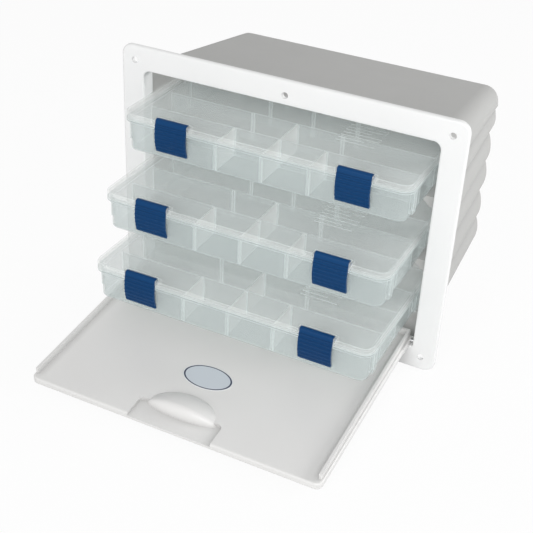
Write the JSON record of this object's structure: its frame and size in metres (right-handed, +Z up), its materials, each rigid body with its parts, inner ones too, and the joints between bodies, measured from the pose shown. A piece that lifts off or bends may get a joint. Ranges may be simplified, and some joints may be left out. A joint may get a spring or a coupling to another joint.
{
  "type": "built-in tackle storage box",
  "caption": "Flush-mount tackle storage box: screw-down frame and ribbed housing with a fold-down door and pull-out utility trays with hinged lids and latches.",
  "frame": {"origin": "middle of the frame's screw pattern, on the back face of the frame's flange, which seats on the wall", "axes": "+X right as seen from the front, +Y into the wall behind the frame, +Z up"},
  "size_m": [0.429, 0.5048, 0.326],
  "materials": {
    "white_shell": "glossy moulded",
    "grey_shell": "matte moulded",
    "clear_tray": "frosted translucent",
    "latch": "satin, ribbed",
    "pin": "plain",
    "label": "plain vinyl"
  },
  "bodies": {
    "root": {"front_frame": "white_shell", "housing_shell": "grey_shell", "door_pin_left": "pin", "door_pin_right": "pin"},
    "door": {"door_panel": "white_shell", "door_label": "label"},
    "tray_1": {"tray_1_base": "clear_tray", "tray_1_dividers": "clear_tray", "tray_1_hinge_pins": "clear_tray"},
    "lid_1": {"tray_1_lid": "clear_tray"},
    "latch_1_left": {"tray_1_latch_left": "latch"},
    "latch_1_right": {"tray_1_latch_right": "latch"},
    "tray_2": {"tray_2_base": "clear_tray", "tray_2_dividers": "clear_tray", "tray_2_hinge_pins": "clear_tray"},
    "lid_2": {"tray_2_lid": "clear_tray"},
    "latch_2_left": {"tray_2_latch_left": "latch"},
    "latch_2_right": {"tray_2_latch_right": "latch"},
    "tray_3": {"tray_3_base": "clear_tray", "tray_3_dividers": "clear_tray", "tray_3_hinge_pins": "clear_tray"},
    "lid_3": {"tray_3_lid": "clear_tray"},
    "latch_3_left": {"tray_3_latch_left": "latch"},
    "latch_3_right": {"tray_3_latch_right": "latch"}
  },
  "joints": [
    {"name": "door_hinge", "type": "hinge", "parent": "root", "child": "door", "pos_m": [0, -0.0005, -0.1282], "axis": [1, 0, 0], "range_deg": [-9.5, 0]},
    {"name": "tray_1_slide", "type": "slide", "parent": "root", "child": "tray_1", "axis": [0, -1, 0], "range_m": [-0.0789, 0.1058]},
    {"name": "lid_1_hinge", "type": "hinge", "parent": "tray_1", "child": "lid_1", "pos_m": [0, 0.1395, 0.09745], "axis": [-1, 0, 0], "range_deg": [0, 7]},
    {"name": "latch_1_left_hinge", "type": "hinge", "parent": "lid_1", "child": "latch_1_left", "pos_m": [-0.1125, -0.0601, 0.1035], "axis": [-1, 0, 0], "range_deg": [0, 110]},
    {"name": "latch_1_right_hinge", "type": "hinge", "parent": "lid_1", "child": "latch_1_right", "pos_m": [0.1125, -0.0601, 0.1035], "axis": [-1, 0, 0], "range_deg": [0, 110]},
    {"name": "tray_2_slide", "type": "slide", "parent": "root", "child": "tray_2", "axis": [0, -1, 0], "range_m": [-0.1239, 0.0608]},
    {"name": "lid_2_hinge", "type": "hinge", "parent": "tray_2", "child": "lid_2", "pos_m": [0, 0.0945, 0.01445], "axis": [-1, 0, 0], "range_deg": [0, 7]},
    {"name": "latch_2_left_hinge", "type": "hinge", "parent": "lid_2", "child": "latch_2_left", "pos_m": [-0.1125, -0.1051, 0.0205], "axis": [-1, 0, 0], "range_deg": [0, 110]},
    {"name": "latch_2_right_hinge", "type": "hinge", "parent": "lid_2", "child": "latch_2_right", "pos_m": [0.1125, -0.1051, 0.0205], "axis": [-1, 0, 0], "range_deg": [0, 110]},
    {"name": "tray_3_slide", "type": "slide", "parent": "root", "child": "tray_3", "axis": [0, -1, 0], "range_m": [-0.1495, 0.0352]},
    {"name": "lid_3_hinge", "type": "hinge", "parent": "tray_3", "child": "lid_3", "pos_m": [0, 0.0689, -0.06855], "axis": [-1, 0, 0], "range_deg": [0, 7]},
    {"name": "latch_3_left_hinge", "type": "hinge", "parent": "lid_3", "child": "latch_3_left", "pos_m": [-0.1125, -0.1307, -0.0625], "axis": [-1, 0, 0], "range_deg": [0, 110]},
    {"name": "latch_3_right_hinge", "type": "hinge", "parent": "lid_3", "child": "latch_3_right", "pos_m": [0.1125, -0.1307, -0.0625], "axis": [-1, 0, 0], "range_deg": [0, 110]}
  ]
}
